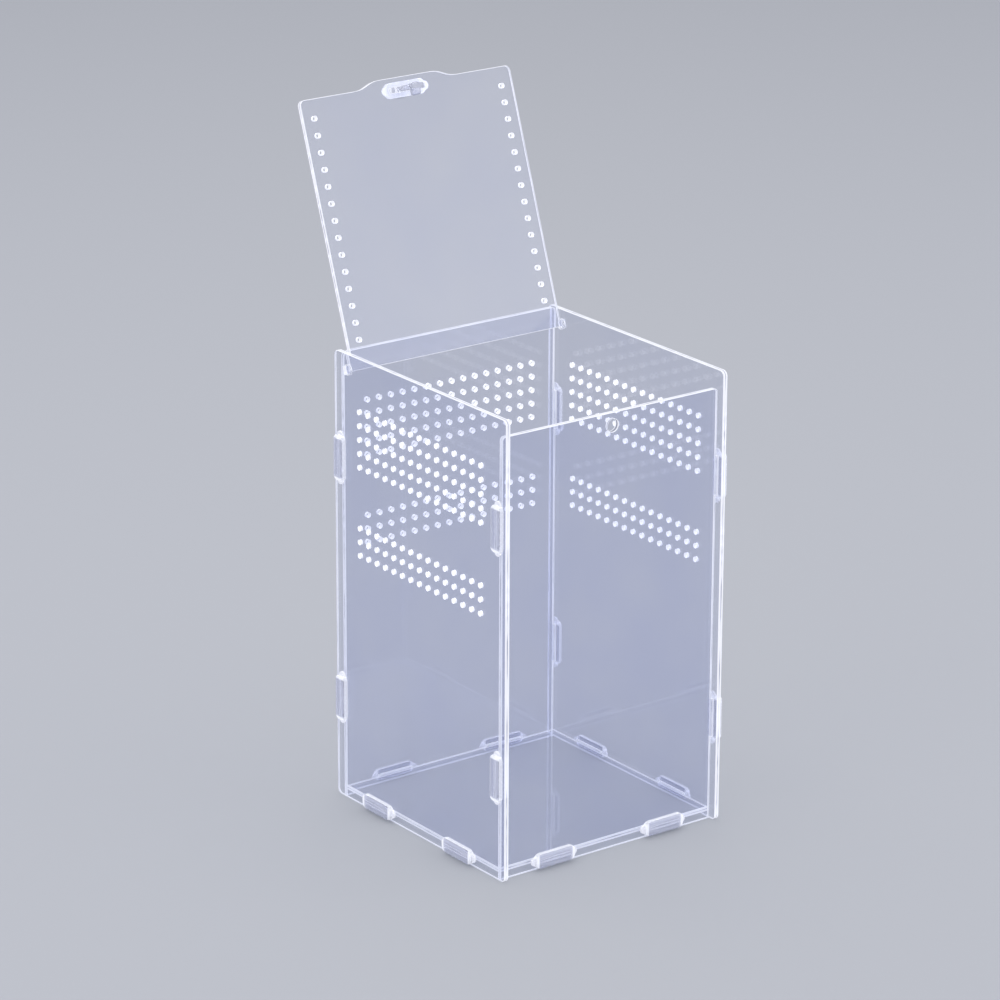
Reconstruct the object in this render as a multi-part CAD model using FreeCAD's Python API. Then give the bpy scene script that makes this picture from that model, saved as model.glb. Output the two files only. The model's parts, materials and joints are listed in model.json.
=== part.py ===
# Breeding box of clear acrylic sheet for small reptiles, in millimetres.
# Five flat panels lock together by tabs in slots. A clear moulded cap is pressed over the end
# of each tab, and the lid turns on two ears of its own in round holes of the side panels.
#
# X runs across the box, Y from front to back, Z up. The origin is the middle of the front
# panel's bottom edge, on the surface that the box stands on. The lid is modelled open,
# leaning back on the rear panel.

import FreeCAD
import Part
import math
import os

# Sheet and overall size
sheet = 2.8               # thickness of the acrylic sheet
height = 250.0            # side and rear panels
side_depth = 150.0        # side panels, front to back
outer_width = 142.0       # over the two side panels
front_height = 240.0      # the lid closes onto this edge
setback = 4.4             # from a side panel's edge to the front or rear panel's outer face
floor_height = 5.0        # middle of the floor sheet above the table
corner_r = 3.0            # cut corners of the large panels
front_corner_r = 2.0

# Tabs, their slots, and where they stand
tab_length = 21.5
slot_play = 0.1           # slot over tab, both ways
tab_proud = 1.6           # beyond the outer face of the panel that it goes through
tab_low = 57.0            # height of the lower tabs of the front and rear panels
tab_high = 192.0          # height of their upper tabs
tab_offset = 36.0         # floor tabs, each side of the middle

# Moulded cap that is pressed over a tab's end
cap_length = 25.6         # its raised body
cap_width = 8.2
cap_proud = 2.6
cap_slope = 0.8           # chamfer round the top
cap_corner = 1.9          # its rounded corners, each cut as one facet
cap_ear_reach = 2.0       # thin ears at both ends, for levering the cap off
cap_ear_width = 5.0
cap_ear_height = 1.1
cap_ear_corner = 1.5
pocket_play = 0.04        # pocket over tab, a push fit
pocket_depth = 1.7

# Vents: rows of small holes in the side and rear panels
vent_d = 2.6
vent_pitch = 7.6
vent_columns = 15
vent_sides = 6            # a small hole is cut six-sided, with the round hole's area
upper_vent_top = 220.9
upper_vent_rows = 5
lower_vent_top = 156.8
lower_vent_rows = 3

# Hole in the front panel, which the latch clicks into
latch_hole_d = 7.0
latch_hole_drop = 7.0     # below the front panel's top edge

# Lid, measured from its hinge axis
hinge_inset = 4.55        # axis in front of the rear panel's inner face
lid_gap = 0.05            # under the closed lid, above the front panel
rest_gap = 0.02           # between the open lid and the rear panel's edge
lid_side_play = 0.4
lid_rear = 1.3            # lid behind the axis, between the ears
ear_half = 2.3            # half an ear's width
lid_reach = 141.4         # to its straight front edge
grip_rise = 3.7           # finger grip, a low bump in the front edge
grip_half_top = 16.5
grip_half_base = 33.0
ear_proud = 1.5           # ear beyond the side panel's outer face
ear_hole_d = 5.5
lid_hole_d = 2.5
lid_hole_x = 60.5
lid_hole_first = 14.1
lid_hole_pitch = 9.0
lid_hole_count = 14

# Latch moulding: a head like a cap, and a springy tongue through the lid
latch_reach = 138.55      # from the hinge axis
tongue_width = 9.2
tongue_thick = 2.7
tongue_drop = 10.0        # below the lid
leg_width = 2.2           # snap legs at both ends of the slot
leg_barb = 0.5
leg_drop = 1.0
nub_d = 5.6
nub_slope = 1.2
nub_into_hole = 0.08      # past the front panel's outer face when the lid is closed

# Planes and places that follow
half = sheet / 2
side_x = outer_width / 2 - half                    # middle of a side panel
inner_x = outer_width / 2 - sheet                  # its inner face
front_edge = -(setback + half)                     # side panels' front edges
rear_edge = front_edge + side_depth
rear_y = rear_edge - setback - half                # middle of the rear panel
centre_y = rear_y / 2
tab_reach = sheet + tab_proud
slot_long = tab_length + 2 * slot_play
slot_wide = sheet + slot_play
hinge_y = rear_y - half - hinge_inset
hinge_z = front_height + lid_gap + half
latch_hole_z = front_height - latch_hole_drop

# The open lid leans until its outer face meets the rear panel's inner top edge
stop_run = math.hypot(hinge_inset, height - hinge_z)
lid_lean = math.degrees(
    math.atan2(hinge_inset, height - hinge_z) - math.asin((half + rest_gap) / stop_run)
)
lid_open = 90.0 + lid_lean


def vec(x, y, z=0.0):
    return FreeCAD.Vector(x, y, z)


def outline(corners):
    """Closed wire through (x, y, r) corners, each rounded to its own radius r."""
    edges = []
    points = [vec(x, y) for x, y, r in corners]
    last = None
    first = None
    count = len(corners)
    for i in range(count):
        here, before, after = points[i], points[i - 1], points[(i + 1) % count]
        r = corners[i][2]
        enter, leave = here, here
        if r > 0:
            to_before = (before - here).normalize()
            to_after = (after - here).normalize()
            turn = to_before.getAngle(to_after)
            cut = r / math.tan(turn / 2)
            enter = here + to_before * cut
            leave = here + to_after * cut
            bisector = (to_before + to_after).normalize()
            crown = here + bisector * (r / math.sin(turn / 2) - r)
        if last is not None:
            edges.append(Part.LineSegment(last, enter).toShape())
        else:
            first = enter
        if r > 0:
            edges.append(Part.Arc(enter, crown, leave).toShape())
        last = leave
    edges.append(Part.LineSegment(last, first).toShape())
    return Part.Wire(edges)


def rectangle(x, y, wide, tall):
    """Closed wire of a rectangle about its centre."""
    a, b = wide / 2, tall / 2
    return outline([(x - a, y - b, 0), (x + a, y - b, 0), (x + a, y + b, 0), (x - a, y + b, 0)])


def circle(x, y, diameter):
    return Part.Wire([Part.Circle(vec(x, y), vec(0, 0, 1), diameter / 2).toShape()])


def small_hole(x, y, diameter):
    """Closed wire of a small hole, a polygon as large as the round hole."""
    n = vent_sides
    reach = diameter / 2 * math.sqrt(2 * math.pi / (n * math.sin(2 * math.pi / n)))
    turns = [2 * math.pi * i / n for i in range(n)]
    return outline([(x + reach * math.cos(a), y + reach * math.sin(a), 0) for a in turns])


def cut_sheet(edge, holes):
    """A piece cut from the sheet, lying in the XY plane about mid-thickness."""
    face = Part.makeFace([edge] + holes, "Part::FaceMakerBullseye")
    face.translate(vec(0, 0, -half))
    return face.extrude(vec(0, 0, sheet))


def stand(solid, right, up, place):
    """Turn a piece so that its X and Y run along right and up, and move it to place."""
    turned = solid.copy()
    turn = FreeCAD.Rotation(right, up, right.cross(up), "XYZ")
    turned.Placement = FreeCAD.Placement(place, turn).multiply(solid.Placement)
    return turned


def tabbed_edge(start, end, centres):
    """Corner points of an edge from start to end, with tabs standing out on its right."""
    along = (end - start).normalize()
    out = vec(along.y, -along.x) * tab_reach
    points = []
    for centre in centres:
        near = start + along * (centre - tab_length / 2)
        far = start + along * (centre + tab_length / 2)
        points += [(p.x, p.y, 0) for p in (near, near + out, far + out, far)]
    return points


def vents(middle):
    """Wires of both groups of vents, centred on the given place across the panel."""
    rows = [upper_vent_top - vent_pitch * i for i in range(upper_vent_rows)]
    rows += [lower_vent_top - vent_pitch * i for i in range(lower_vent_rows)]
    first = middle - vent_pitch * (vent_columns - 1) / 2
    columns = [first + vent_pitch * i for i in range(vent_columns)]
    return [small_hole(x, z, vent_d) for z in rows for x in columns]


def floor_slots(middle):
    """Slots that the floor's tabs go through, two along a wall's foot."""
    return [
        rectangle(middle + side * tab_offset, floor_height, slot_long, slot_wide)
        for side in (-1, 1)
    ]


def side_panel(x):
    """Left or right panel: slots for the front, rear and floor tabs, ear hole and vents."""
    a, b, r = front_edge, rear_edge, corner_r
    edge = outline([(a, 0, r), (b, 0, r), (b, height, r), (a, height, r)])
    slots = [
        rectangle(y, z, slot_wide, slot_long) for y in (0, rear_y) for z in (tab_low, tab_high)
    ]
    ear_hole = circle(hinge_y, hinge_z, ear_hole_d)
    holes = slots + floor_slots(centre_y) + vents(centre_y) + [ear_hole]
    return stand(cut_sheet(edge, holes), vec(0, 1, 0), vec(0, 0, 1), vec(x, 0, 0))


def cross_panel(y, top, r, holes):
    """Front or rear panel: two tabs on each upright edge, slots for the floor's tabs."""
    a = inner_x
    right = tabbed_edge(vec(a, 0), vec(a, top), [tab_low, tab_high])
    left = tabbed_edge(vec(-a, top), vec(-a, 0), [top - tab_high, top - tab_low])
    edge = outline([(-a, 0, 0), (a, 0, 0)] + right + [(a, top, r), (-a, top, r)] + left)
    flat = cut_sheet(edge, floor_slots(0) + holes)
    return stand(flat, vec(1, 0, 0), vec(0, 0, 1), vec(0, y, 0))


def front_panel():
    latch_hole = circle(0, latch_hole_z, latch_hole_d)
    return cross_panel(0, front_height, front_corner_r, [latch_hole])


def back_panel():
    return cross_panel(rear_y, height, corner_r, vents(0))


def floor_panel():
    """Floor sheet with two tabs on each of its four edges."""
    a, b = half, rear_y - half
    corners = [vec(-inner_x, a), vec(inner_x, a), vec(inner_x, b), vec(-inner_x, b)]
    points = []
    for i, here in enumerate(corners):
        after = corners[(i + 1) % 4]
        middle = (after - here).Length / 2
        points.append((here.x, here.y, 0))
        points += tabbed_edge(here, after, [middle - tab_offset, middle + tab_offset])
    return stand(cut_sheet(outline(points), []), vec(1, 0, 0), vec(0, 1, 0), vec(0, 0, floor_height))


def oblong(length, width, corner):
    """Flat strip along X with its four corners cut off at 45 degrees."""
    a, b = length / 2, width / 2
    right = [(a - corner, -b, 0), (a, corner - b, 0), (a, b - corner, 0), (a - corner, b, 0)]
    left = [(-x, y, 0) for x, y, r in reversed(right)]
    return Part.Face(outline(right + left))


def cap_head():
    """Moulded head, long in X, with its base on the XY plane: oblong body and two thin ears."""
    body = oblong(cap_length, cap_width, cap_corner).extrude(vec(0, 0, cap_proud))
    rim = [e for e in body.Edges if e.BoundBox.ZMin > cap_proud - 0.01]
    ears = oblong(cap_length + 2 * cap_ear_reach, cap_ear_width, cap_ear_corner)
    return body.makeChamfer(cap_slope, rim).fuse(ears.extrude(vec(0, 0, cap_ear_height)))


def cap():
    """Cap with the pocket that takes a tab's end."""
    pocket = Part.Face(rectangle(0, 0, tab_length + pocket_play, sheet + pocket_play))
    return cap_head().cut(pocket.extrude(vec(0, 0, pocket_depth))).removeSplitter()


def caps():
    """Every cap by name, seated on the outer face of the panel that its tab comes through."""
    up, across, inward = vec(0, 0, 1), vec(1, 0, 0), vec(0, 1, 0)
    placed = {}
    for side, s in (("left", -1), ("right", 1)):
        face_x = s * outer_width / 2
        for end, y, z_name, z in (
            ("front", 0, "lower", tab_low),
            ("front", 0, "upper", tab_high),
            ("back", rear_y, "lower", tab_low),
            ("back", rear_y, "upper", tab_high),
        ):
            name = f"cap_{side}_{end}_{z_name}"
            placed[name] = stand(cap(), up, inward * -s, vec(face_x, y, z))
        for end, e in (("front", -1), ("back", 1)):
            place = vec(face_x, centre_y + e * tab_offset, floor_height)
            placed[f"cap_{side}_floor_{end}"] = stand(cap(), inward, up * s, place)
    for end, e, face_y in (("front", -1, -half), ("back", 1, rear_y + half)):
        for side, s in (("left", -1), ("right", 1)):
            place = vec(s * tab_offset, face_y, floor_height)
            placed[f"cap_{end}_floor_{side}"] = stand(cap(), across, up * -e, place)
    return placed


def lid_flat():
    """Lid lying in the XY plane with its hinge axis on X and its front towards -Y."""
    a = inner_x - lid_side_play
    ear = outer_width / 2 + ear_proud
    front = -lid_reach
    run = grip_half_base - grip_half_top
    cut = (run ** 2 + grip_rise ** 2) / (4 * run)
    bend_r = 0.95 * cut / math.tan(math.asin(grip_rise / (2 * cut)) / 2)
    base, top = grip_half_base - cut, grip_half_top + cut
    edge = outline([
        (-a, front, corner_r),
        (-base, front, bend_r), (-top, front - grip_rise, bend_r),
        (top, front - grip_rise, bend_r), (base, front, bend_r),
        (a, front, corner_r),
        (a, -ear_half, 0), (ear, -ear_half, 0), (ear, ear_half, 0),
        (a, ear_half, 0), (a, lid_rear, 0), (-a, lid_rear, 0), (-a, ear_half, 0),
        (-ear, ear_half, 0), (-ear, -ear_half, 0), (-a, -ear_half, 0),
    ])
    rows = [-(lid_hole_first + lid_hole_pitch * i) for i in range(lid_hole_count)]
    holes = [small_hole(s * lid_hole_x, y, lid_hole_d) for y in rows for s in (-1, 1)]
    holes.append(rectangle(0, -latch_reach, slot_long, slot_wide))
    return cut_sheet(edge, holes)


def latch_flat():
    """Latch in the closed lid's place: head on top, legs in the slot, tongue hanging below."""
    head = cap_head()
    b = tongue_thick / 2
    low = -(sheet + tongue_drop)
    a = tongue_width / 2
    tongue = Part.Face(outline([(-a, low, 2), (a, low, 2), (a, 0, 0), (-a, 0, 0)]))
    solids = [tongue]
    outer = tab_length / 2 + 0.05
    catch = -(sheet + 0.02)
    for s in (-1, 1):
        profile = [
            (outer - leg_width, 0), (outer, 0), (outer, catch), (outer + leg_barb, catch),
            (outer, -sheet - leg_drop), (outer - leg_width, -sheet - leg_drop),
        ]
        solids.append(Part.Face(outline([(s * x, y, 0) for x, y in profile])))
    moulding = head
    for face in solids:
        plate = face.extrude(vec(0, 0, tongue_thick))
        plate = stand(plate, vec(1, 0, 0), vec(0, 0, 1), vec(0, b, 0))
        moulding = moulding.fuse(plate)
    nub_start = hinge_y - latch_reach + b
    nub_length = -half + nub_into_hole - nub_start
    centre = vec(0, b, latch_hole_z - (hinge_z + half))
    nub = Part.makeCylinder(nub_d / 2, nub_length, centre, vec(0, 1, 0))
    tip = [e for e in nub.Edges if e.BoundBox.YMin > b + nub_length - 0.01]
    nub = nub.makeChamfer(nub_slope, tip)
    moulding = moulding.fuse(nub).removeSplitter()
    moulding.translate(vec(0, -latch_reach, half))
    return moulding


def opened(flat):
    """Carry a piece of the closed lid to the hinge, then turn it about the ears to rest open."""
    solid = flat.copy()
    solid.translate(vec(0, hinge_y, hinge_z))
    solid.rotate(vec(0, hinge_y, hinge_z), vec(1, 0, 0), -lid_open)
    return solid


def write_parts():
    os.makedirs("parts", exist_ok=True)
    pieces = {
        "left_side_panel": side_panel(-side_x),
        "right_side_panel": side_panel(side_x),
        "front_panel": front_panel(),
        "back_panel": back_panel(),
        "floor_panel": floor_panel(),
        "lid_panel": opened(lid_flat()),
        "lid_latch": opened(latch_flat()),
    }
    pieces.update(caps())
    for name, shape in pieces.items():
        solid = shape.Solids[0]
        print(f"{name}: {len(shape.Solids)} solid, {solid.Volume:.0f} mm3, valid {solid.isValid()}")
        solid.exportStep(f"parts/{name}.step")
    print(f"lid opens {lid_open:.3f} degrees")


write_parts()
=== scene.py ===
import json
import math

import bmesh
import bpy
from bpy.props import (
    FloatProperty,
    FloatVectorProperty,
    IntProperty,
    PointerProperty,
)
from mathutils import Matrix, Vector
from mathutils.kdtree import KDTree


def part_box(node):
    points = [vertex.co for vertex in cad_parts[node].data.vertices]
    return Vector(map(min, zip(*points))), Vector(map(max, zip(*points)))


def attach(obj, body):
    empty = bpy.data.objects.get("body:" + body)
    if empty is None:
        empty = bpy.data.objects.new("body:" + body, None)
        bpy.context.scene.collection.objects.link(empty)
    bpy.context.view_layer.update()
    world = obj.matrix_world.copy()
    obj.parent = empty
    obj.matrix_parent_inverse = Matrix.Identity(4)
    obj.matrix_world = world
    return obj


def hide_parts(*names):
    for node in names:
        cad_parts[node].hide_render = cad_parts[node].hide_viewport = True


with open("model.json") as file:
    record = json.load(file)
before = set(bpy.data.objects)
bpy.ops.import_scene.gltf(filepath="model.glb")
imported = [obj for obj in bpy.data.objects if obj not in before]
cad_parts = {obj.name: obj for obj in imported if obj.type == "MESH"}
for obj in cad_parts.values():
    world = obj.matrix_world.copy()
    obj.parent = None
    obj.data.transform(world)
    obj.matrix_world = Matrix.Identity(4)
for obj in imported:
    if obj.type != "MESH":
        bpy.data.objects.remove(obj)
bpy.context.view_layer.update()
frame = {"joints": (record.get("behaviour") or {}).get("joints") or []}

bl_info = {
    "name": "Reptile Breeding Box",
    "version": (1, 0, 0),
    "blender": (4, 5, 0),
    "location": "View3D > Sidebar > Breeding Box",
    "description": "Clear acrylic box of slotted sheets with moulded caps, vents and a latched lid",
    "category": "Add Mesh",
}

MM = 0.001

# Places and sizes that the solid parts already have
SIDE_LOW, SIDE_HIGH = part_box("right_side_panel")
FRONT_LOW, FRONT_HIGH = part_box("front_panel")
BACK_LOW, BACK_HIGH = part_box("back_panel")
FLOOR_LOW, FLOOR_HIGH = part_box("floor_panel")
LID_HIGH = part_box("lid_panel")[1]
SHEET = SIDE_HIGH.x - SIDE_LOW.x
HALF = SHEET / 2
INNER_X = SIDE_LOW.x
OUTER_X = SIDE_HIGH.x
SIDE_X = INNER_X + HALF
TAB_TIP = FRONT_HIGH.x - INNER_X
REAR_Y = BACK_LOW.y + HALF
CENTRE_Y = REAR_Y / 2
FLOOR_Z = (FLOOR_LOW.z + FLOOR_HIGH.z) / 2
LATCH_HOLE_DROP = 7 * MM


def middle(node):
    low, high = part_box(node)
    return (low + high) / 2


TAB_LOW = middle("cap_right_front_lower").z
TAB_HIGH = middle("cap_right_front_upper").z
TAB_OFFSET = middle("cap_front_floor_right").x
HINGE = frame["joints"][0]
HINGE_POINT = Vector(HINGE["pos_m"])
LID_OPEN = math.radians(max(HINGE["range_deg"]))

ACROSS, INWARD, UP = Vector((1, 0, 0)), Vector((0, 1, 0)), Vector((0, 0, 1))


def linear(code):
    """Linear RGB of an sRGB hex colour."""
    parts = [int(code[i : i + 2], 16) / 255 for i in (1, 3, 5)]
    return [c / 12.92 if c <= 0.04045 else ((c + 0.055) / 1.055) ** 2.4 for c in parts]


class SheetSettings(bpy.types.PropertyGroup):
    """Sizes of the cut sheets."""

    arris: FloatProperty(
        name="Arris", description="Eased edge along every cut",
        default=0.22 * MM, unit="LENGTH", precision=5,
    )
    corner: FloatProperty(
        name="Corner", description="Radius of the large panels' corners",
        default=3 * MM, unit="LENGTH",
    )
    front_corner: FloatProperty(
        name="Front corner", description="Radius of the front panel's upper corners",
        default=2 * MM, unit="LENGTH",
    )
    joint_gap: FloatProperty(
        name="Joint gap", description="Air left where one sheet butts against another",
        default=0.03 * MM, unit="LENGTH", precision=5,
    )
    tab_length: FloatProperty(
        name="Tab length", description="Length of each tab along its edge",
        default=21.5 * MM, unit="LENGTH",
    )
    slot_play: FloatProperty(
        name="Slot play", description="Slot size over the tab's, both ways",
        default=0.1 * MM, unit="LENGTH", precision=5,
    )
    vent: FloatProperty(
        name="Vent", description="Diameter of a vent hole",
        default=2.6 * MM, unit="LENGTH",
    )
    vent_pitch: FloatProperty(
        name="Vent pitch", description="Middle to middle of neighbouring vent holes",
        default=7.6 * MM, unit="LENGTH",
    )
    vent_columns: IntProperty(
        name="Vent columns", description="Vent holes in each row", default=15,
    )
    upper_vent_top: FloatProperty(
        name="Upper vents", description="Height of the upper group's top row",
        default=220.9 * MM, unit="LENGTH",
    )
    upper_vent_rows: IntProperty(
        name="Upper rows", description="Rows in the upper group", default=5,
    )
    lower_vent_top: FloatProperty(
        name="Lower vents", description="Height of the lower group's top row",
        default=156.8 * MM, unit="LENGTH",
    )
    lower_vent_rows: IntProperty(
        name="Lower rows", description="Rows in the lower group", default=3,
    )
    latch_hole: FloatProperty(
        name="Latch hole", description="Diameter of the front panel's hole",
        default=7 * MM, unit="LENGTH",
    )
    ear_hole: FloatProperty(
        name="Ear hole", description="Diameter of the side panels' hinge holes",
        default=5.5 * MM, unit="LENGTH",
    )


class LidSettings(bpy.types.PropertyGroup):
    """Sizes of the lid, measured from its hinge axis."""

    side_play: FloatProperty(
        name="Side play", description="Gap to each side panel",
        default=0.4 * MM, unit="LENGTH", precision=5,
    )
    rear: FloatProperty(
        name="Rear", description="Lid behind the axis, between the ears",
        default=1.3 * MM, unit="LENGTH",
    )
    ear: FloatProperty(
        name="Ear", description="Half an ear's width", default=2.3 * MM, unit="LENGTH",
    )
    reach: FloatProperty(
        name="Reach", description="Axis to the straight front edge",
        default=141.4 * MM, unit="LENGTH",
    )
    grip_rise: FloatProperty(
        name="Grip rise", description="Height of the finger grip beyond the front edge",
        default=3.7 * MM, unit="LENGTH",
    )
    grip_half_top: FloatProperty(
        name="Grip top", description="Half the length of the grip's top",
        default=16.5 * MM, unit="LENGTH",
    )
    grip_half_base: FloatProperty(
        name="Grip base", description="Half the length of the grip's foot",
        default=33 * MM, unit="LENGTH",
    )
    hole: FloatProperty(
        name="Hole", description="Diameter of the holes along both sides",
        default=2.5 * MM, unit="LENGTH",
    )
    hole_x: FloatProperty(
        name="Hole offset", description="From the middle of the lid to each row",
        default=60.5 * MM, unit="LENGTH",
    )
    hole_first: FloatProperty(
        name="First hole", description="Axis to the nearest hole",
        default=14.1 * MM, unit="LENGTH",
    )
    hole_pitch: FloatProperty(
        name="Hole pitch", description="Middle to middle along a row",
        default=9 * MM, unit="LENGTH",
    )
    hole_count: IntProperty(name="Holes", description="Holes in each row", default=14)
    latch_reach: FloatProperty(
        name="Latch reach", description="Axis to the middle of the latch",
        default=138.55 * MM, unit="LENGTH",
    )


class MouldingSettings(bpy.types.PropertyGroup):
    """Sizes of the moulded caps and of the latch."""

    length: FloatProperty(
        name="Body length", description="Length of the raised oblong body",
        default=25.6 * MM, unit="LENGTH",
    )
    width: FloatProperty(
        name="Body width", description="Width of the raised body",
        default=8.2 * MM, unit="LENGTH",
    )
    proud: FloatProperty(
        name="Body height", description="Height over the sheet",
        default=2.6 * MM, unit="LENGTH",
    )
    corner: FloatProperty(
        name="Corner", description="Radius of the body's four corners",
        default=3.2 * MM, unit="LENGTH",
    )
    rounding: FloatProperty(
        name="Rounding", description="Radius along the body's upper edge",
        default=0.9 * MM, unit="LENGTH",
    )
    ear_reach: FloatProperty(
        name="Ear reach", description="Thin ear beyond each end of the body",
        default=2 * MM, unit="LENGTH",
    )
    ear_width: FloatProperty(
        name="Ear width", description="Width of an ear",
        default=5 * MM, unit="LENGTH",
    )
    ear_height: FloatProperty(
        name="Ear height", description="Thickness of an ear",
        default=1.1 * MM, unit="LENGTH",
    )
    ear_rounding: FloatProperty(
        name="Ear rounding", description="Radius along an ear's upper edge",
        default=0.45 * MM, unit="LENGTH",
    )
    pocket_play: FloatProperty(
        name="Pocket play", description="Pocket size over the tab's, both ways",
        default=0.08 * MM, unit="LENGTH", precision=5,
    )
    pocket_depth: FloatProperty(
        name="Pocket depth", description="Depth of the pocket that takes a tab's end",
        default=1.7 * MM, unit="LENGTH",
    )
    gate: FloatProperty(
        name="Gate mark", description="Diameter of the shallow round mark in the top",
        default=5.6 * MM, unit="LENGTH",
    )
    gate_depth: FloatProperty(
        name="Gate depth", description="Depth of that mark",
        default=0.12 * MM, unit="LENGTH", precision=5,
    )
    tongue_width: FloatProperty(
        name="Tongue width", description="Width of the latch's springy tongue",
        default=9.2 * MM, unit="LENGTH",
    )
    tongue_thick: FloatProperty(
        name="Tongue thickness", description="Thickness of tongue and snap legs",
        default=2.7 * MM, unit="LENGTH",
    )
    tongue_drop: FloatProperty(
        name="Tongue drop", description="Tongue below the closed lid",
        default=10 * MM, unit="LENGTH",
    )
    leg_width: FloatProperty(
        name="Leg width", description="Width of a snap leg in the slot",
        default=2.2 * MM, unit="LENGTH",
    )
    leg_drop: FloatProperty(
        name="Leg drop", description="Snap leg below the lid",
        default=1 * MM, unit="LENGTH",
    )
    leg_barb: FloatProperty(
        name="Barb", description="How far a leg's barb catches under the lid",
        default=0.5 * MM, unit="LENGTH",
    )
    nub: FloatProperty(
        name="Nub", description="Diameter of the nub that finds the front panel's hole",
        default=5.6 * MM, unit="LENGTH",
    )
    nub_slope: FloatProperty(
        name="Nub slope", description="Chamfer round the nub's end",
        default=1.2 * MM, unit="LENGTH",
    )


class FinishSettings(bpy.types.PropertyGroup):
    """Colours of the clear plastics."""

    # Painted light: a lavender tint that stands in for bluish studio light and reflected softbox
    # light
    sheet: FloatVectorProperty(
        name="Sheet", description="Tint of light that crosses an acrylic face",
        subtype="COLOR", min=0, max=1, default=linear("#E5E9FB"),
    )
    # Painted glow and painted highlight colour of the cut edges and hole walls
    edge: FloatVectorProperty(
        name="Cut edge", description="Colour of the light that a cut edge gives off",
        subtype="COLOR", min=0, max=1, default=linear("#F8F9FF"),
    )
    # Painted lavender tint of the dimmer middle between an edge's painted highlight bands
    core: FloatVectorProperty(
        name="Edge core", description="Tint seen through the middle of a cut edge",
        subtype="COLOR", min=0, max=1, default=linear("#DADDF1"),
    )
    # Painted light: a lavender tint that stands in for bluish studio light
    moulding: FloatVectorProperty(
        name="Moulding", description="Tint of the mouldings over the tabs' ends",
        subtype="COLOR", min=0, max=1, default=linear("#E9EBF9"),
    )
    # Painted glow colour of the mouldings' walls, seats and ears
    moulding_rim: FloatVectorProperty(
        name="Moulding rim", description="Colour of the mouldings' walls, seats and ears",
        subtype="COLOR", min=0, max=1, default=linear("#F7F8FF"),
    )


class StudioSettings(bpy.types.PropertyGroup):
    """Floor, light and camera."""

    floor: FloatVectorProperty(
        name="Floor", description="Colour of the floor and of the room",
        subtype="COLOR", min=0, max=1, default=linear("#BEC0C6"),
    )
    floor_size: FloatProperty(
        name="Floor size", description="Diameter of the round floor",
        default=30.0, unit="LENGTH",
    )
    azimuth: FloatProperty(
        name="Azimuth", description="Camera, turned from the front",
        default=math.radians(-36.670), subtype="ANGLE",
    )
    elevation: FloatProperty(
        name="Elevation", description="Camera above the horizon",
        default=math.radians(19.168), subtype="ANGLE",
    )
    roll: FloatProperty(
        name="Roll", description="Camera turned about its own axis",
        default=math.radians(0.218), subtype="ANGLE",
    )
    distance: FloatProperty(
        name="Distance", description="Camera to the point that it looks at",
        default=2.3526, unit="LENGTH",
    )
    aim: FloatVectorProperty(
        name="Aim", description="Point that the camera looks at",
        default=(-0.01876, 0.0692, 0.17703), subtype="TRANSLATION", precision=4,
    )
    lens: FloatProperty(
        name="Lens", description="Focal length in millimetres", default=162.81,
    )


# Outlines

def rounded(corners):
    """Points of a closed outline through (x, y, radius) corners, each turned in an arc."""
    step = math.radians(12)
    places = [Vector(c[:2]) for c in corners]
    points = []
    for i, (x, y, radius) in enumerate(corners):
        here = places[i]
        if radius == 0:
            points.append(here)
            continue
        back = (places[i - 1] - here).normalized()
        ahead = (places[(i + 1) % len(places)] - here).normalized()
        turn = back.angle(ahead)
        centre = here + (back + ahead).normalized() * radius / math.sin(turn / 2)
        start = here + back * radius / math.tan(turn / 2) - centre
        end = here + ahead * radius / math.tan(turn / 2) - centre
        sweep = math.copysign(math.pi - turn, start.x * end.y - start.y * end.x)
        count = math.ceil(abs(sweep) / step)
        for k in range(count + 1):
            points.append(centre + Matrix.Rotation(sweep * k / count, 2) @ start)
    return points


def rectangle(x, y, wide, tall):
    a, b = wide / 2, tall / 2
    return rounded([(x - a, y - b, 0), (x + a, y - b, 0), (x + a, y + b, 0), (x - a, y + b, 0)])


def circle(x, y, diameter, sides=24):
    turns = [math.tau * i / sides for i in range(sides)]
    return [Vector((x + diameter / 2 * math.cos(a), y + diameter / 2 * math.sin(a))) for a in turns]


def oblong(length, width, corner):
    """Strip along X with round corners."""
    a, b = length / 2, width / 2
    r = min(corner, b * 0.9999)
    return rounded([(-a, -b, r), (a, -b, r), (a, b, r), (-a, b, r)])


def tabbed(start, end, centres, tab_length):
    """Corners of an edge from start to end, with tabs standing out on its right."""
    along = (end - start).normalized()
    out = Vector((along.y, -along.x)) * TAB_TIP
    corners = []
    for centre in centres:
        near = start + along * (centre - tab_length / 2)
        far = start + along * (centre + tab_length / 2)
        corners += [(p.x, p.y, 0) for p in (near, near + out, far + out, far)]
    return corners


# Meshes

def plate(name, loops, thickness, ease, steps=0):
    """Mesh of a flat plate about z 0, with its edges eased by a chamfer or a round."""
    path = bpy.data.curves.new(name, "CURVE")
    path.dimensions = "2D"
    path.fill_mode = "BOTH"
    path.extrude = thickness / 2 - ease
    path.bevel_depth = ease
    path.bevel_resolution = steps
    path.offset = -ease
    for loop in loops:
        spline = path.splines.new("POLY")
        spline.points.add(len(loop) - 1)
        for point, place in zip(spline.points, loop):
            point.co = (*place, 0, 1)
        spline.use_cyclic_u = True
    carrier = bpy.data.objects.new(name, path)
    bpy.context.collection.objects.link(carrier)
    mesh = bpy.data.meshes.new_from_object(
        carrier.evaluated_get(bpy.context.evaluated_depsgraph_get())
    )
    bpy.data.objects.remove(carrier)
    bpy.data.curves.remove(path)
    body = bmesh.new()
    body.from_mesh(mesh)
    bmesh.ops.remove_doubles(body, verts=body.verts, dist=0.002 * MM)
    body.to_mesh(mesh)
    body.free()
    mesh.name = name
    return mesh


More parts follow.
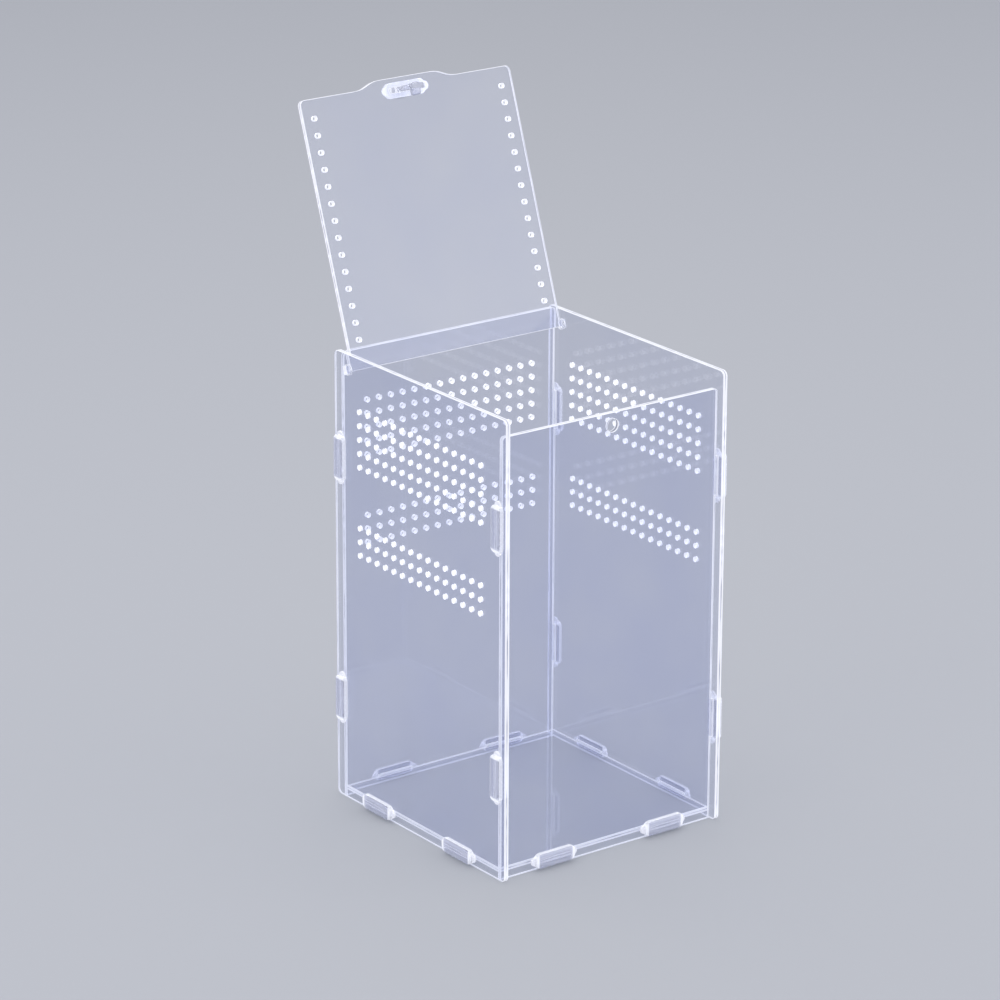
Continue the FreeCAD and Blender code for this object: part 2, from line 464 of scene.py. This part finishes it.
def upper_half(mesh):
    """Cuts away what lies below z 0, and closes the cut."""
    body = bmesh.new()
    body.from_mesh(mesh)
    cut = bmesh.ops.bisect_plane(
        body, geom=body.verts[:] + body.edges[:] + body.faces[:],
        plane_co=(0, 0, 0), plane_no=(0, 0, 1), clear_inner=True,
    )
    rim = [e for e in cut["geom_cut"] if isinstance(e, bmesh.types.BMEdge)]
    bmesh.ops.triangle_fill(body, edges=rim, use_beauty=True)
    bmesh.ops.recalc_face_normals(body, faces=body.faces)
    body.to_mesh(mesh)
    body.free()
    return mesh


def moved(mesh, right=ACROSS, up=INWARD, place=Vector()):
    """The mesh with its X and Y turned to right and up, and moved to place."""
    mesh.transform(placing(right, up, place))
    return mesh


def placing(right, up, place):
    turn = Matrix((right, up, right.cross(up))).transposed().to_4x4()
    return Matrix.Translation(place) @ turn


def joined(mesh, others, operation):
    """The mesh united with the others, or with them cut out of it."""
    carrier = bpy.data.objects.new(mesh.name, mesh)
    bpy.context.collection.objects.link(carrier)
    tools = []
    for other in others:
        tool = bpy.data.objects.new("tool", other)
        bpy.context.collection.objects.link(tool)
        step = carrier.modifiers.new("step", "BOOLEAN")
        step.operation = operation
        step.solver = "EXACT"
        step.object = tool
        tools.append(tool)
    result = bpy.data.meshes.new_from_object(
        carrier.evaluated_get(bpy.context.evaluated_depsgraph_get())
    )
    for thing in [carrier, *tools]:
        bpy.data.objects.remove(thing)
    result.name = mesh.name
    return result


def smoothed(mesh, angle):
    """Smooth shading, kept crisp where faces meet at more than the angle in degrees."""
    for face in mesh.polygons:
        face.use_smooth = True
    mesh.set_sharp_from_angle(angle=math.radians(angle))


# Finishes

def add(tree, kind, settings=None, inputs=None):
    """Adds a shader node, sets its properties, and sets or links its input sockets."""
    node = tree.nodes.new("ShaderNode" + kind)
    for name, value in (settings or {}).items():
        setattr(node, name, value)
    for name, value in (inputs or {}).items():
        if isinstance(value, bpy.types.NodeSocket):
            tree.links.new(value, node.inputs[name])
        else:
            node.inputs[name].default_value = value
    return node


def material(name, build, *facts):
    """The material of that name, built by the given function when it is first asked for."""
    found = bpy.data.materials.get(name)
    if found:
        return found
    made = bpy.data.materials.new(name)
    made.use_nodes = True
    made.node_tree.nodes.clear()
    build(made.node_tree, *facts)
    return made


def clear_output(tree, shader, lamp_tint):
    """Output of a clear plastic that lets lamp light and bounced light straight through."""
    path = add(tree, "LightPath")
    passing = add(tree, "Math", {"operation": "MAXIMUM"}, {
        0: path.outputs["Is Shadow Ray"], 1: path.outputs["Is Diffuse Ray"],
    })
    straight = add(tree, "BsdfTransparent", inputs={"Color": (*lamp_tint, 1)})
    mixed = add(tree, "MixShader", inputs={
        0: passing.outputs[0], 1: shader.outputs[0], 2: straight.outputs[0],
    })
    add(tree, "OutputMaterial", inputs={"Surface": mixed.outputs[0]})


def flat_place(tree, leaning):
    """Coordinates with Z from mid-thickness, undoing the place of a piece of the open lid."""
    place = add(tree, "TexCoord").outputs["Object"]
    if not leaning:
        return place
    shift = -(Matrix.Rotation(LID_OPEN, 3, "X") @ HINGE_POINT)
    return add(tree, "Mapping", inputs={
        "Vector": place, "Rotation": (LID_OPEN, 0, 0), "Location": shift,
    }).outputs[0]


def cast_acrylic(tree, tint, leaning):
    """Polished face of cast acrylic sheet: clear as glass, with a painted lavender tint that
    stands in for bluish light and reflected softbox light, paler in random patches."""
    place = flat_place(tree, leaning)
    # Random paler patches of the painted lavender tint, some 50 mm across
    tint_patches = add(tree, "TexNoise", inputs={
        "Vector": place, "Scale": 1 / (50 * MM), "Detail": 2.0,
    })
    thin = add(tree, "MapRange", inputs={
        "Value": tint_patches.outputs["Fac"], "From Min": 0.3, "From Max": 0.7,
        "To Min": 0.3, "To Max": 0.5,
    })
    cast = add(tree, "Mix", {"data_type": "RGBA"}, {
        "Factor": thin.outputs["Result"], "A": (*tint, 1), "B": (1, 1, 1, 1),
    })
    shader = add(tree, "BsdfPrincipled", inputs={
        "Base Color": cast.outputs["Result"], "IOR": 1.49, "Roughness": 0.0,
        "Transmission Weight": 0.985,
    })
    clear_output(tree, shader, (0.95, 0.955, 0.965))


def laser_cut_edge(tree, colour, core, share, core_clear, leaning):
    """Laser-cut edge of the sheet: fire-polished, with fine streaks across the thickness.
    Painted glow and painted highlights: emission and a near-white colour give an edge two
    bright bands towards the eased corners, standing in for light led along inside the sheet,
    with a clearer core over the given share of the thickness. The core is wider in some
    places and closes in others."""
    place = flat_place(tree, leaning)
    across = add(tree, "SeparateXYZ", inputs={0: place})
    depth = add(tree, "Math", {"operation": "ABSOLUTE"}, {0: across.outputs["Z"]})
    # Wide and narrow stretches of the core, some 15 mm long
    drift = add(tree, "TexNoise", inputs={
        "Vector": place, "Scale": 1 / (15 * MM), "Detail": 1.0,
    })
    reach = add(tree, "MapRange", inputs={
        "Value": drift.outputs["Fac"], "From Min": 0.3, "From Max": 0.7,
        "To Min": -0.15 * HALF, "To Max": 0.15 * HALF,
    })
    ring = add(tree, "Math", inputs={0: depth.outputs[0], 1: reach.outputs["Result"]})
    # Painted highlight bands: from the core, clear, to the eased corners, white
    painted_bands = add(tree, "MapRange", {"interpolation_type": "SMOOTHSTEP"}, {
        "Value": ring.outputs[0], "From Min": (share - 0.2) * HALF,
        "From Max": (share + 0.15) * HALF,
    })
    clear = add(tree, "MapRange", inputs={
        "Value": painted_bands.outputs["Result"], "To Min": core_clear, "To Max": 0.1,
    })
    # Less painted glow on edges that face up, where room light already brightens them
    facing = add(tree, "SeparateXYZ", inputs={0: add(tree, "NewGeometry").outputs["Normal"]})
    painted_glow_by_facing = add(tree, "MapRange", inputs={
        "Value": facing.outputs["Z"], "To Min": 0.35, "To Max": 0.18,
    })
    painted_glow = add(tree, "Math", {"operation": "MULTIPLY"}, {
        0: painted_bands.outputs["Result"], 1: painted_glow_by_facing.outputs["Result"],
    })
    shade = add(tree, "Mix", {"data_type": "RGBA"}, {
        "Factor": painted_bands.outputs["Result"], "A": (*core, 1), "B": (*colour, 1),
    })
    # Streaks of the pulsing beam, 0.7 mm apart along the cut, the same through the thickness
    flat = add(tree, "Mapping", inputs={"Vector": place, "Scale": (1.0, 1.0, 0.02)})
    streak = add(tree, "TexNoise", inputs={
        "Vector": flat.outputs[0], "Scale": 1 / (0.7 * MM), "Detail": 1.0,
    })
    relief = add(tree, "Bump", inputs={
        "Height": streak.outputs["Fac"], "Distance": 0.02 * MM, "Strength": 0.6,
    })
    # Painted glow: emission along the bright bands
    shader = add(tree, "BsdfPrincipled", inputs={
        "Base Color": shade.outputs["Result"], "IOR": 1.49, "Roughness": 0.15,
        "Emission Color": (*colour, 1), "Emission Strength": painted_glow.outputs[0],
        "Transmission Weight": clear.outputs["Result"], "Normal": relief.outputs["Normal"],
    })
    clear_output(tree, shader, (0.75, 0.76, 0.79))


def laser_cut_vent(tree, colour, leaning):
    """Wall of a small laser-cut hole: frosted by the beam, and bright all through the
    thickness with painted glow from emission, standing in for light from inside the sheet."""
    place = flat_place(tree, leaning)
    # Soot-free and slightly sooted places of the wall, 0.8 mm across
    frost = add(tree, "TexNoise", inputs={
        "Vector": place, "Scale": 1 / (0.8 * MM), "Detail": 1.0,
    })
    rough = add(tree, "MapRange", inputs={
        "Value": frost.outputs["Fac"], "From Min": 0.3, "From Max": 0.7,
        "To Min": 0.3, "To Max": 0.5,
    })
    # Painted glow: emission at 0.5 in the near-white edge colour
    shader = add(tree, "BsdfPrincipled", inputs={
        "Base Color": (*colour, 1), "IOR": 1.49, "Roughness": rough.outputs["Result"],
        "Emission Color": (*colour, 1), "Emission Strength": 0.5,
        "Transmission Weight": 0.05,
    })
    clear_output(tree, shader, (0.75, 0.76, 0.79))


def moulded_polycarbonate(tree, tint, bright, hollow, leaning):
    """Injection-moulded clear polycarbonate: clear over the tab's end with a painted lavender
    tint for bluish light, soft flow lines along the moulding, and painted glow and a
    near-white colour in its solid ends, standing in for light that they gather."""
    place = flat_place(tree, leaning)
    # Flow lines about 1.5 mm apart, drawn out along the moulding
    along = add(tree, "Mapping", inputs={"Vector": place, "Scale": (0.06, 1.0, 1.0)})
    flow = add(tree, "TexNoise", inputs={
        "Vector": along.outputs[0], "Scale": 1 / (1.5 * MM), "Detail": 0.0,
    })
    milk = add(tree, "MapRange", inputs={
        "Value": flow.outputs["Fac"], "From Min": 0.35, "From Max": 0.65,
        "To Min": 0.78, "To Max": 0.6,
    })
    # The solid ends, from the given reach outwards, which get painted glow and a near-white colour
    across = add(tree, "SeparateXYZ", inputs={0: place})
    reach = add(tree, "Math", {"operation": "ABSOLUTE"}, {0: across.outputs["X"]})
    solid = add(tree, "MapRange", {"interpolation_type": "SMOOTHSTEP"}, {
        "Value": reach.outputs[0], "From Min": hollow - 0.6 * MM,
        "From Max": hollow + 0.6 * MM,
    })
    clear = add(tree, "Mix", inputs={
        "Factor": solid.outputs["Result"], "A": milk.outputs["Result"], "B": 0.35,
    })
    shade = add(tree, "Mix", {"data_type": "RGBA"}, {
        "Factor": solid.outputs["Result"], "A": (*tint, 1), "B": (*bright, 1),
    })
    # Painted glow in the solid ends, from emission
    painted_glow = add(tree, "MapRange", inputs={
        "Value": solid.outputs["Result"], "To Min": 0.0, "To Max": 0.3,
    })
    shader = add(tree, "BsdfPrincipled", inputs={
        "Base Color": shade.outputs["Result"], "IOR": 1.585, "Roughness": 0.03,
        "Emission Color": (*bright, 1), "Emission Strength": painted_glow.outputs["Result"],
        "Transmission Weight": clear.outputs["Result"],
    })
    clear_output(tree, shader, (0.85, 0.86, 0.89))


def moulded_rim(tree, colour, painted_glow):
    """Side walls, seats and thin ears of the same mouldings: painted glow from emission and a
    near-white colour, standing in for light that gathers in them, make them bright, and a
    faint grain from the mould dulls them."""
    place = add(tree, "TexCoord").outputs["Object"]
    # Spark-eroded grain, 0.5 mm across so that it shows at all
    grain = add(tree, "TexNoise", inputs={
        "Vector": place, "Scale": 1 / (0.5 * MM), "Detail": 2.0,
    })
    rough = add(tree, "MapRange", inputs={
        "Value": grain.outputs["Fac"], "From Min": 0.3, "From Max": 0.7,
        "To Min": 0.12, "To Max": 0.3,
    })
    shader = add(tree, "BsdfPrincipled", inputs={
        "Base Color": (*colour, 1), "IOR": 1.585, "Roughness": rough.outputs["Result"],
        "Emission Color": (*colour, 1), "Emission Strength": painted_glow,
        "Transmission Weight": 0.45,
    })
    clear_output(tree, shader, (0.75, 0.76, 0.79))


def pale_floor(tree, colour):
    """Matt laminated board, one plain colour all over."""
    shader = add(tree, "BsdfPrincipled", inputs={
        "Base Color": (*colour, 1), "Roughness": 0.85, "Specular IOR Level": 0.2,
    })
    add(tree, "OutputMaterial", inputs={"Surface": shader.outputs[0]})


# Pieces

def settle(name, mesh, matrix, node, body):
    """A piece in its place, standing for a solid part and moving with its body."""
    piece = bpy.data.objects.new(name, mesh)
    bpy.context.collection.objects.link(piece)
    if body == "lid":
        mesh.transform(matrix)
    else:
        piece.matrix_world = matrix
    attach(piece, body)
    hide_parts(node)
    return piece


def sheet_piece(context, name, outline, holes, matrix, node, body):
    """A cut sheet: clear faces, bright edges, and frosted walls in its round holes."""
    box = context.scene.breeding_box_sheet
    colours = context.scene.breeding_box_finish
    mesh = plate(name, outline + holes, SHEET, box.arris)
    leaning = body == "lid"
    suffix = " of the lid" if leaning else ""
    # Edge and hole-wall materials carry painted glow and painted highlight bands, the sheet material
    # a painted lavender tint
    for title, build, *facts in (
        ("Cast acrylic sheet", cast_acrylic, colours.sheet),
        ("Laser-cut acrylic edge", laser_cut_edge, colours.edge, colours.core, 0.1, 0.3),
        ("Laser-cut vent wall", laser_cut_vent, colours.edge),
        ("Flame-polished hole wall", laser_cut_edge, colours.edge, colours.core, 0.5, 0.5),
    ):
        mesh.materials.append(material(title + suffix, build, *facts, leaning))
    walls = KDTree(sum(map(len, holes)))
    finish = []
    for hole in holes:
        width = max(point.x for point in hole) - min(point.x for point in hole)
        for point in hole:
            walls.insert((*point, 0), len(finish))
            finish.append(3 if width > 4 * MM else 2)
    walls.balance()
    smoothed(mesh, 20)
    for face in mesh.polygons:
        if abs(face.normal.z) > 0.99:
            face.use_smooth = False
            continue
        nearest, distance = walls.find((*face.center.xy, 0))[1:] if holes else (0, math.inf)
        face.material_index = finish[nearest] if distance < 1 * MM else 1
    return settle(name, mesh, matrix, node, body)


def moulded_piece(context, name, mesh, matrix, node, body):
    """A moulding: clear over its middle, bright at its walls, its ears and a lid's seat."""
    colours = context.scene.breeding_box_finish
    box = context.scene.breeding_box_moulding
    leaning = body == "lid"
    suffix = " of the lid" if leaning else ""
    mesh.materials.clear()
    mesh.materials.append(material(
        "Moulded polycarbonate" + suffix, moulded_polycarbonate, colours.moulding,
        colours.moulding_rim, context.scene.breeding_box_sheet.tab_length / 2, leaning,
    ))
    # The rim's painted glow is stronger on the lid's latch than on the caps
    mesh.materials.append(material(
        "Moulded polycarbonate rim" + suffix, moulded_rim, colours.moulding_rim,
        0.35 if leaning else 0.2,
    ))
    smoothed(mesh, 32)
    # Walls, seats and ends take the rim material with its painted glow
    for face in mesh.polygons:
        wall = abs(face.normal.z) < 0.5 and abs(face.center.y) > box.width / 2 - 0.9 * MM
        seat = leaning and face.normal.z < -0.9 and face.center.z < 0.5 * MM
        end = abs(face.center.x) > box.length / 2 - 0.3 * MM
        face.material_index = int(face.center.z > -0.1 * MM and (wall or seat or end))
    return settle(name, mesh, matrix, node, body)


def vents(box, centre):
    """Both groups of vent holes, centred on the given place across the panel."""
    rows = [box.upper_vent_top - box.vent_pitch * i for i in range(box.upper_vent_rows)]
    rows += [box.lower_vent_top - box.vent_pitch * i for i in range(box.lower_vent_rows)]
    first = centre - box.vent_pitch * (box.vent_columns - 1) / 2
    columns = [first + box.vent_pitch * i for i in range(box.vent_columns)]
    return [circle(x, z, box.vent) for z in rows for x in columns]


def slot_size(box):
    return box.tab_length + 2 * box.slot_play, SHEET + box.slot_play


def floor_slots(box, centre):
    """Slots at a wall's foot for the floor sheet's tabs."""
    long, wide = slot_size(box)
    return [rectangle(centre + s * TAB_OFFSET, FLOOR_Z, long, wide) for s in (-1, 1)]


def cross_outline(box, top, corner):
    """Outline and floor slots of the front or rear panel."""
    a = INNER_X - box.joint_gap
    right = tabbed(Vector((a, 0)), Vector((a, top)), [TAB_LOW, TAB_HIGH], box.tab_length)
    left = tabbed(
        Vector((-a, top)), Vector((-a, 0)), [top - TAB_HIGH, top - TAB_LOW], box.tab_length
    )
    edge = [(-a, 0, 0), (a, 0, 0), *right, (a, top, corner), (-a, top, corner), *left]
    return [rounded(edge), *floor_slots(box, 0)]


def moulded_head(box, gap):
    """Moulded head on z 0, long in X: a rounded oblong body and two thin ears."""
    top = box.proud - gap
    body = upper_half(plate(
        "head", [oblong(box.length, box.width, box.corner)], 2 * top, box.rounding, 4
    ))
    ears = upper_half(plate(
        "ears", [oblong(box.length + 2 * box.ear_reach, box.ear_width, box.ear_width / 2)],
        2 * box.ear_height, box.ear_rounding, 3,
    ))
    mark = moved(
        plate("mark", [circle(0, 0, box.gate, 32)], 2 * box.gate_depth, 0.05 * MM),
        place=Vector((0, 0, top)),
    )
    return joined(joined(body, [ears], "UNION"), [mark], "DIFFERENCE")


class Piece:
    """What every operator here has in common."""

    bl_options = {"REGISTER", "UNDO"}


class SidePanels(Piece, bpy.types.Operator):
    """Cut both side panels, with slots, vents and the hinge holes"""

    bl_idname = "breeding_box.side_panels"
    bl_label = "Side Panels"

    def execute(self, context):
        box = context.scene.breeding_box_sheet
        long, wide = slot_size(box)
        a, b, top, r = SIDE_LOW.y, SIDE_HIGH.y, SIDE_HIGH.z, box.corner
        edge = rounded([(a, 0, r), (b, 0, r), (b, top, r), (a, top, r)])
        slots = [
            rectangle(y, z, wide, long) for y in (0, REAR_Y) for z in (TAB_LOW, TAB_HIGH)
        ]
        outline = [edge, *slots, *floor_slots(box, CENTRE_Y)]
        ear_hole = circle(HINGE_POINT.y, HINGE_POINT.z, box.ear_hole, 32)
        holes = [*vents(box, CENTRE_Y), ear_hole]
        for side, x in (("left", -SIDE_X), ("right", SIDE_X)):
            matrix = placing(INWARD, UP, Vector((x, 0, 0)))
            node = f"{side}_side_panel"
            sheet_piece(context, f"acrylic_{side}_side", outline, holes, matrix, node, "box")
        return {"FINISHED"}


class FrontPanel(Piece, bpy.types.Operator):
    """Cut the low front panel, with the latch's hole"""

    bl_idname = "breeding_box.front_panel"
    bl_label = "Front Panel"

    def execute(self, context):
        box = context.scene.breeding_box_sheet
        top = FRONT_HIGH.z
        latch_hole = circle(0, top - LATCH_HOLE_DROP, box.latch_hole, 40)
        outline = cross_outline(box, top, box.front_corner)
        matrix = placing(ACROSS, UP, Vector())
        sheet_piece(
            context, "acrylic_front", outline, [latch_hole], matrix, "front_panel", "box"
        )
        return {"FINISHED"}


class BackPanel(Piece, bpy.types.Operator):
    """Cut the vented rear panel"""

    bl_idname = "breeding_box.back_panel"
    bl_label = "Rear Panel"

    def execute(self, context):
        box = context.scene.breeding_box_sheet
        outline = cross_outline(box, BACK_HIGH.z, box.corner)
        matrix = placing(ACROSS, UP, Vector((0, REAR_Y, 0)))
        sheet_piece(
            context, "acrylic_back", outline, vents(box, 0), matrix, "back_panel", "box"
        )
        return {"FINISHED"}


class FloorPanel(Piece, bpy.types.Operator):
    """Cut the floor sheet, with two tabs on each edge"""

    bl_idname = "breeding_box.floor_panel"
    bl_label = "Floor Sheet"

    def execute(self, context):
        box = context.scene.breeding_box_sheet
        gap = box.joint_gap
        x, near, far = INNER_X - gap, HALF + gap, REAR_Y - HALF - gap
        corners = [Vector(c) for c in ((-x, near), (x, near), (x, far), (-x, far))]
        edge = []
        for i, here in enumerate(corners):
            after = corners[(i + 1) % 4]
            half_run = (after - here).length / 2
            edge.append((here.x, here.y, 0))
            places = [half_run - TAB_OFFSET, half_run + TAB_OFFSET]
            edge += tabbed(here, after, places, box.tab_length)
        matrix = placing(ACROSS, INWARD, Vector((0, 0, FLOOR_Z)))
        sheet_piece(
            context, "acrylic_floor", [rounded(edge)], [], matrix, "floor_panel", "box"
        )
        return {"FINISHED"}


def lid_place():
    """From the closed lid's plane through the hinge to where the lid rests open."""
    return Matrix.Translation(HINGE_POINT) @ Matrix.Rotation(-LID_OPEN, 4, "X")


class Lid(Piece, bpy.types.Operator):
    """Cut the lid, with its ears, finger grip and two rows of holes"""

    bl_idname = "breeding_box.lid"
    bl_label = "Lid"

    def execute(self, context):
        box = context.scene.breeding_box_sheet
        lid = context.scene.breeding_box_lid
        a, ear, front = INNER_X - lid.side_play, LID_HIGH.x, -lid.reach
        run = lid.grip_half_base - lid.grip_half_top
        cut = (run ** 2 + lid.grip_rise ** 2) / (4 * run)
        bend = 0.95 * cut / math.tan(math.asin(lid.grip_rise / (2 * cut)) / 2)
        base, top = lid.grip_half_base - cut, lid.grip_half_top + cut
        edge = rounded([
            (-a, front, box.corner),
            (-base, front, bend), (-top, front - lid.grip_rise, bend),
            (top, front - lid.grip_rise, bend), (base, front, bend),
            (a, front, box.corner),
            (a, -lid.ear, 0), (ear, -lid.ear, 0), (ear, lid.ear, 0),
            (a, lid.ear, 0), (a, lid.rear, 0), (-a, lid.rear, 0), (-a, lid.ear, 0),
            (-ear, lid.ear, 0), (-ear, -lid.ear, 0), (-a, -lid.ear, 0),
        ])
        rows = [-(lid.hole_first + lid.hole_pitch * i) for i in range(lid.hole_count)]
        holes = [circle(s * lid.hole_x, y, lid.hole) for y in rows for s in (-1, 1)]
        slot = rectangle(0, -lid.latch_reach, *slot_size(box))
        sheet_piece(
            context, "acrylic_lid", [edge, slot], holes, lid_place(), "lid_panel", "lid"
        )
        return {"FINISHED"}


class Latch(Piece, bpy.types.Operator):
    """Mould the latch: a head on the lid, snap legs, and a tongue with a nub"""

    bl_idname = "breeding_box.latch"
    bl_label = "Latch"

    def execute(self, context):
        sheet, lid = context.scene.breeding_box_sheet, context.scene.breeding_box_lid
        box = context.scene.breeding_box_moulding
        ease, overlap = 0.25 * MM, 0.3 * MM
        a, low = box.tongue_width / 2, -(SHEET + box.tongue_drop)
        outlines = [rounded([(-a, low, 2 * MM), (a, low, 2 * MM), (a, overlap, 0), (-a, overlap, 0)])]
        outer = sheet.tab_length / 2 + 0.05 * MM
        catch, foot = -(SHEET + 0.02 * MM), -(SHEET + box.leg_drop)
        inner = outer - box.leg_width
        for s in (-1, 1):
            corners = [
                (inner, overlap), (outer, overlap), (outer, catch),
                (outer + box.leg_barb, catch), (outer, foot), (inner, foot),
            ]
            outlines.append(rounded([(s * x, y, 0) for x, y in corners]))
        limbs = [
            moved(plate("limb", [outline], box.tongue_thick, ease, 2), ACROSS, UP)
            for outline in outlines
        ]
        face_y = box.tongue_thick / 2
        root = HINGE_POINT.y - lid.latch_reach + face_y
        nub_length = -HALF + 0.08 * MM - root
        nub_z = FRONT_HIGH.z - LATCH_HOLE_DROP - (HINGE_POINT.z + HALF)
        nub = moved(
            plate("nub", [circle(0, 0, box.nub, 32)], 2 * nub_length, box.nub_slope, 3),
            ACROSS, -UP, Vector((0, face_y, nub_z)),
        )
        head = moulded_head(box, sheet.joint_gap)
        head = moved(head, place=Vector((0, 0, sheet.joint_gap)))
        mesh = joined(head, [*limbs, nub], "UNION")
        mesh.name = "moulded_latch"
        seat = Matrix.Translation((0, -lid.latch_reach, HALF))
        moulded_piece(context, "moulded_latch", mesh, lid_place() @ seat, "lid_latch", "lid")
        return {"FINISHED"}


class Caps(Piece, bpy.types.Operator):
    """Mould a cap over the end of every tab"""

    bl_idname = "breeding_box.caps"
    bl_label = "Tab Caps"

    def execute(self, context):
        sheet = context.scene.breeding_box_sheet
        box = context.scene.breeding_box_moulding
        pocket = moved(plate(
            "pocket",
            [rectangle(0, 0, sheet.tab_length + box.pocket_play, SHEET + box.pocket_play)],
            2 * box.pocket_depth, 0.1 * MM,
        ))
        gap = sheet.joint_gap
        cap = joined(moulded_head(box, gap), [pocket], "DIFFERENCE")
        placed = {}
        for side, s in (("left", -1), ("right", 1)):
            for end, y in (("front", 0), ("back", REAR_Y)):
                for level, z in (("lower", TAB_LOW), ("upper", TAB_HIGH)):
                    place = Vector((s * (OUTER_X + gap), y, z))
                    placed[f"cap_{side}_{end}_{level}"] = (UP, INWARD * -s, place)
            for end, e in (("front", -1), ("back", 1)):
                place = Vector((s * (OUTER_X + gap), CENTRE_Y + e * TAB_OFFSET, FLOOR_Z))
                placed[f"cap_{side}_floor_{end}"] = (INWARD, UP * s, place)
        for end, e, y in (("front", -1, -HALF - gap), ("back", 1, REAR_Y + HALF + gap)):
            for side, s in (("left", -1), ("right", 1)):
                place = Vector((s * TAB_OFFSET, y, FLOOR_Z))
                placed[f"cap_{end}_floor_{side}"] = (ACROSS, UP * -e, place)
        for node, (right, up, place) in placed.items():
            matrix = placing(right, up, place)
            moulded_piece(context, f"moulded_{node}", cap.copy(), matrix, node, "box")
        return {"FINISHED"}


class Studio(Piece, bpy.types.Operator):
    """Lay the floor, hang the soft lights and set up the camera"""

    bl_idname = "breeding_box.studio"
    bl_label = "Studio"

    def execute(self, context):
        studio = context.scene.breeding_box_studio
        scene = context.scene
        mesh = bpy.data.meshes.new("studio_floor")
        disc = bmesh.new()
        bmesh.ops.create_circle(
            disc, cap_ends=True, segments=96, radius=studio.floor_size / 2
        )
        disc.to_mesh(mesh)
        disc.free()
        mesh.materials.append(material("Matt laminated board", pale_floor, studio.floor))
        floor = bpy.data.objects.new("studio_floor", mesh)
        floor.location.z = -0.2 * MM
        scene.collection.objects.link(floor)

        room = bpy.data.worlds.new("Room")
        room.use_nodes = True
        room.node_tree.nodes.clear()
        air = add(room.node_tree, "Background", inputs={"Color": (*studio.floor, 1)})
        add(room.node_tree, "OutputWorld", inputs={"Surface": air.outputs[0]})
        scene.world = room

        centre = Vector(studio.aim)
        softboxes = (
            # name, direction from the box, distance, size, watts
            ("softbox_right_front", (0.591, -0.756, 0.280), 3.0, 3.0, 30),
            ("softbox_left", (-0.93, -0.10, 0.55), 3.0, 1.6, 18),
            ("softbox_top", (0.05, 0.25, 1.0), 2.8, 2.4, 34),
        )
        for name, direction, distance, size, watts in softboxes:
            light = bpy.data.lights.new(name, "AREA")
            light.shape = "SQUARE"
            light.size = size
            light.energy = watts
            lamp = bpy.data.objects.new(name, light)
            way = Vector(direction).normalized()
            lamp.location = centre + way * distance
            lamp.rotation_mode = "QUATERNION"
            lamp.rotation_quaternion = way.to_track_quat("Z", "Y")
            lamp.visible_camera = False
            scene.collection.objects.link(lamp)

        az, el = studio.azimuth, studio.elevation
        back = Vector((
            math.sin(az) * math.cos(el), -math.cos(az) * math.cos(el), math.sin(el),
        ))
        right = (-back).cross(UP).normalized()
        turn = Matrix((right, back.cross(right), back)).transposed().to_4x4()
        camera = bpy.data.objects.new("camera", bpy.data.cameras.new("camera"))
        camera.data.lens = studio.lens
        camera.data.clip_start, camera.data.clip_end = 0.1, 60.0
        camera.matrix_world = (
            Matrix.Translation(centre + back * studio.distance)
            @ turn @ Matrix.Rotation(studio.roll, 4, "Z")
        )
        scene.collection.objects.link(camera)
        scene.camera = camera
        scene.view_settings.view_transform = "Standard"
        return {"FINISHED"}


class Sidebar(bpy.types.Panel):
    """Lists the settings and the steps that build the box."""

    bl_idname = "BREEDING_BOX_PT_sidebar"
    bl_label = "Breeding Box"
    bl_space_type = "VIEW_3D"
    bl_region_type = "UI"
    bl_category = "Breeding Box"

    def draw(self, context):
        for group in GROUPS:
            settings = getattr(context.scene, group)
            column = self.layout.column(align=True)
            for name in type(settings).__annotations__:
                column.prop(settings, name)
        column = self.layout.column(align=True)
        for operator in OPERATORS:
            column.operator(operator.bl_idname)


GROUPS = {
    "breeding_box_sheet": SheetSettings,
    "breeding_box_lid": LidSettings,
    "breeding_box_moulding": MouldingSettings,
    "breeding_box_finish": FinishSettings,
    "breeding_box_studio": StudioSettings,
}
OPERATORS = (Studio, SidePanels, FrontPanel, BackPanel, FloorPanel, Caps, Lid, Latch)


def register():
    for kind in (*GROUPS.values(), *OPERATORS, Sidebar):
        bpy.utils.register_class(kind)
    for name, kind in GROUPS.items():
        setattr(bpy.types.Scene, name, PointerProperty(type=kind))


def unregister():
    for name in GROUPS:
        delattr(bpy.types.Scene, name)
    for kind in reversed((*GROUPS.values(), *OPERATORS, Sidebar)):
        bpy.utils.unregister_class(kind)


def main():
    register()
    for operator in OPERATORS:
        family, step = operator.bl_idname.split(".")
        getattr(getattr(bpy.ops, family), step)()


if __name__ == "__main__":
    main()
